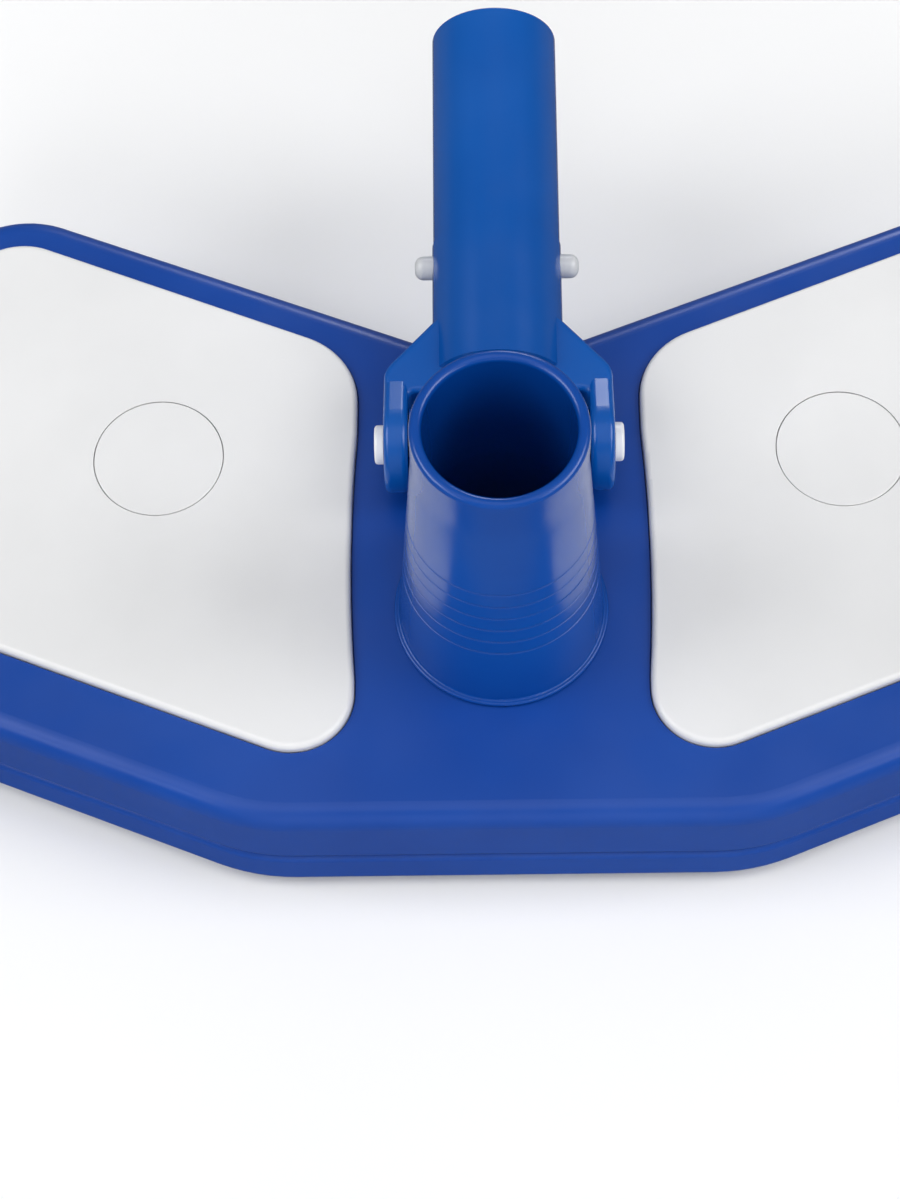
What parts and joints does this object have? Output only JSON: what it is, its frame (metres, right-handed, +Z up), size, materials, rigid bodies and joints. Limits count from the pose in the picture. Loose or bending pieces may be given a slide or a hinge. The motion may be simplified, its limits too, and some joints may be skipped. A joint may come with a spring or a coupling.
{
  "type": "pool vacuum head",
  "caption": "Weighted swept-wing pool vacuum head with brush strips underneath, a turning upright hose socket and a tilting snap-button pole handle.",
  "frame": {"origin": "on the floor, under the middle of the whole part's bounding box; the upright axis of the hose socket stands at Y = -47.0 mm", "axes": "+X across the wings, to the right as seen from the front edge; +Y from the front edge back towards the handle; +Z up, away from the bristle tips"},
  "size_m": [0.2912, 0.2034, 0.1237],
  "materials": {
    "blue_shell": "injection moulded, semi-gloss",
    "blue_frame": "injection moulded, semi-gloss",
    "blue_socket": "injection moulded, glossy",
    "blue_handle": "injection moulded, glossy",
    "white_cover": "injection moulded, fine satin grain",
    "white_pin": "moulded acetal",
    "grey_button": "moulded acetal",
    "washer_plastic": "stamped low-friction sheet",
    "ballast_iron": "as cast, painted black",
    "spring_steel": "cold rolled stainless strip",
    "screw_steel": "stainless, tumbled",
    "strip_plastic": "extruded polypropylene",
    "bristle_nylon": "cut nylon filament"
  },
  "bodies": {
    "head": {"base_frame": "blue_frame", "body_shell": "blue_shell", "frame_screws": "screw_steel", "front_bristles": "bristle_nylon", "front_strip": "strip_plastic", "left_cover_disc": "white_cover", "left_end_bristles": "bristle_nylon", "left_end_strip": "strip_plastic", "left_front_bristles": "bristle_nylon", "left_front_strip": "strip_plastic", "left_pivot_pin": "white_pin", "left_rear_bristles": "bristle_nylon", "left_rear_strip": "strip_plastic", "left_weight": "ballast_iron", "left_weight_cover": "white_cover", "right_cover_disc": "white_cover", "right_end_bristles": "bristle_nylon", "right_end_strip": "strip_plastic", "right_front_bristles": "bristle_nylon", "right_front_strip": "strip_plastic", "right_pivot_pin": "white_pin", "right_rear_bristles": "bristle_nylon", "right_rear_strip": "strip_plastic", "right_weight": "ballast_iron", "right_weight_cover": "white_cover", "swivel_washer": "washer_plastic"},
    "hose_swivel": {"hose_socket": "blue_socket", "swivel_ring": "blue_socket"},
    "handle": {"handle_yoke": "blue_handle", "clip_spring": "spring_steel"},
    "left_snap": {"left_button": "grey_button"},
    "right_snap": {"right_button": "grey_button"}
  },
  "joints": [
    {"name": "handle_tilt", "type": "hinge", "parent": "head", "child": "handle", "pos_m": [0, -0.0102, 0.0515], "axis": [1, 0, 0], "range_deg": [0, 75]},
    {"name": "hose_turn", "type": "hinge", "parent": "head", "child": "hose_swivel", "pos_m": [0, -0.047, 0.0373], "axis": [0, 0, 1], "continuous": true},
    {"name": "left_button_press", "type": "slide", "parent": "handle", "child": "left_snap", "axis": [1, 0, 0], "range_m": [0, 0.0044], "stiffness_N_per_m": 1500, "springref_m": -0.004, "deforming": ["clip_spring"]},
    {"name": "right_button_press", "type": "slide", "parent": "handle", "child": "right_snap", "axis": [-1, 0, 0], "range_m": [0, 0.0044], "stiffness_N_per_m": 1500, "springref_m": -0.004, "deforming": ["clip_spring"]}
  ]
}
